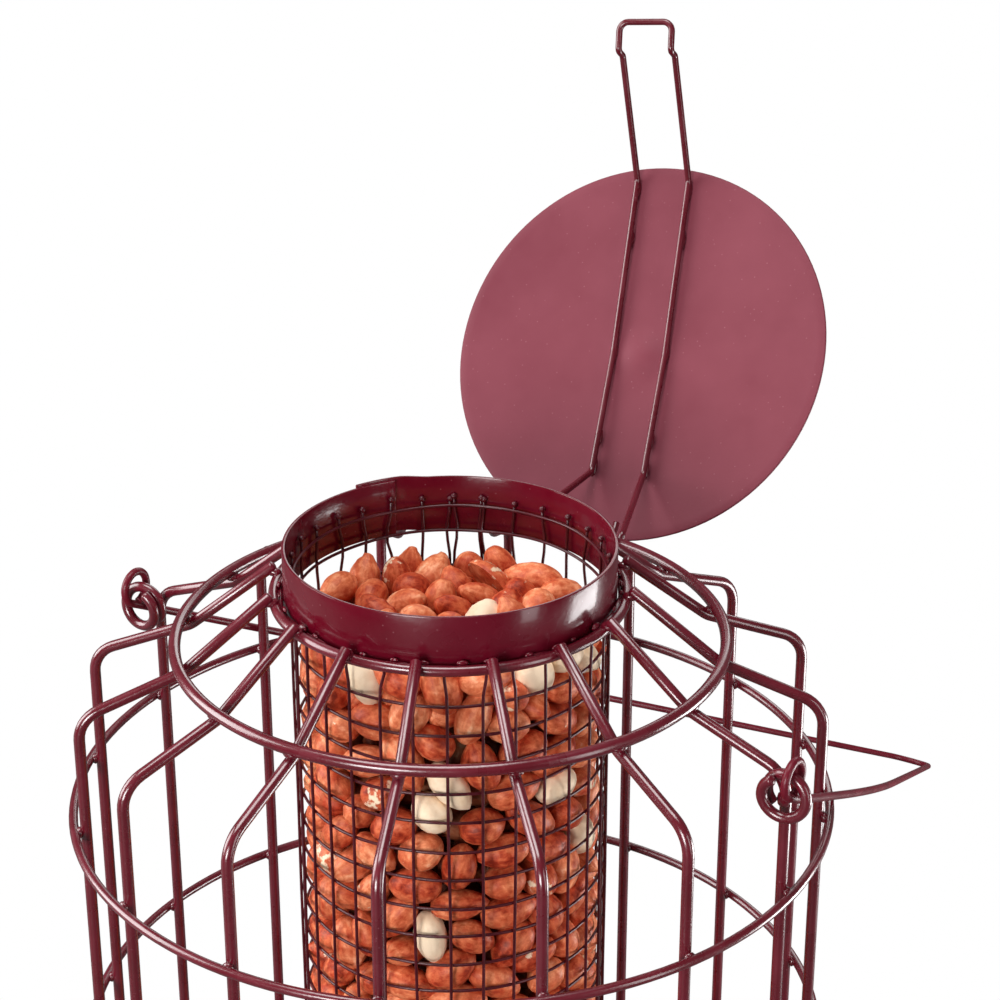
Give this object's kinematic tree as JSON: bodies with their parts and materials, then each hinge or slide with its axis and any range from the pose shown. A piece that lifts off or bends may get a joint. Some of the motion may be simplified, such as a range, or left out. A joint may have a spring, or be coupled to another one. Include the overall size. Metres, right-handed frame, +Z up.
{
  "type": "hanging peanut bird feeder",
  "caption": "Hanging peanut feeder: a wire mesh tube of peanuts inside a round cage of bent wires, with a hinged dished lid and a wire bail to hang it by.",
  "frame": {"origin": "middle of the foot, on the level that the foot stands on", "axes": "+Z up along the tube, X through the two eyelets of the bail, +Y towards the lid's hinge and the lowered bail"},
  "size_m": [0.2002, 0.4139, 0.3578],
  "materials": {
    "wine_powder_coat": "glossy",
    "peanuts": "matt"
  },
  "bodies": {
    "feeder": {"collar": "wine_powder_coat", "mesh_tube": "wine_powder_coat", "base_tray": "wine_powder_coat", "peanut_fill": "peanuts", "neck_ring": "wine_powder_coat", "upper_ring": "wine_powder_coat", "shoulder_hoop": "wine_powder_coat", "middle_hoop": "wine_powder_coat", "lower_hoop": "wine_powder_coat", "base_ring": "wine_powder_coat", "cage_wire_01": "wine_powder_coat", "cage_wire_02": "wine_powder_coat", "cage_wire_03": "wine_powder_coat", "cage_wire_04": "wine_powder_coat", "cage_wire_05": "wine_powder_coat", "cage_wire_06": "wine_powder_coat", "cage_wire_07": "wine_powder_coat", "cage_wire_08": "wine_powder_coat", "cage_wire_09": "wine_powder_coat", "cage_wire_10": "wine_powder_coat", "cage_wire_11": "wine_powder_coat", "cage_wire_12": "wine_powder_coat", "cage_wire_13": "wine_powder_coat", "cage_wire_14": "wine_powder_coat", "cage_wire_15": "wine_powder_coat", "cage_wire_16": "wine_powder_coat", "eyelet_left": "wine_powder_coat", "eyelet_right": "wine_powder_coat"},
    "lid": {"lid_disc": "wine_powder_coat", "lid_wire": "wine_powder_coat"},
    "bail": {"hanging_bail": "wine_powder_coat"}
  },
  "joints": [
    {"name": "lid_hinge", "type": "hinge", "parent": "feeder", "child": "lid", "pos_m": [-0.00415, 0.0659, 0.2376], "axis": [-0.998, -0.0628, 0], "range_deg": [-125.1, 0]},
    {"name": "bail_swing", "type": "hinge", "parent": "feeder", "child": "bail", "pos_m": [0, -0.00492, 0.22768], "axis": [1, 0, 0], "range_deg": [0, 255]}
  ]
}
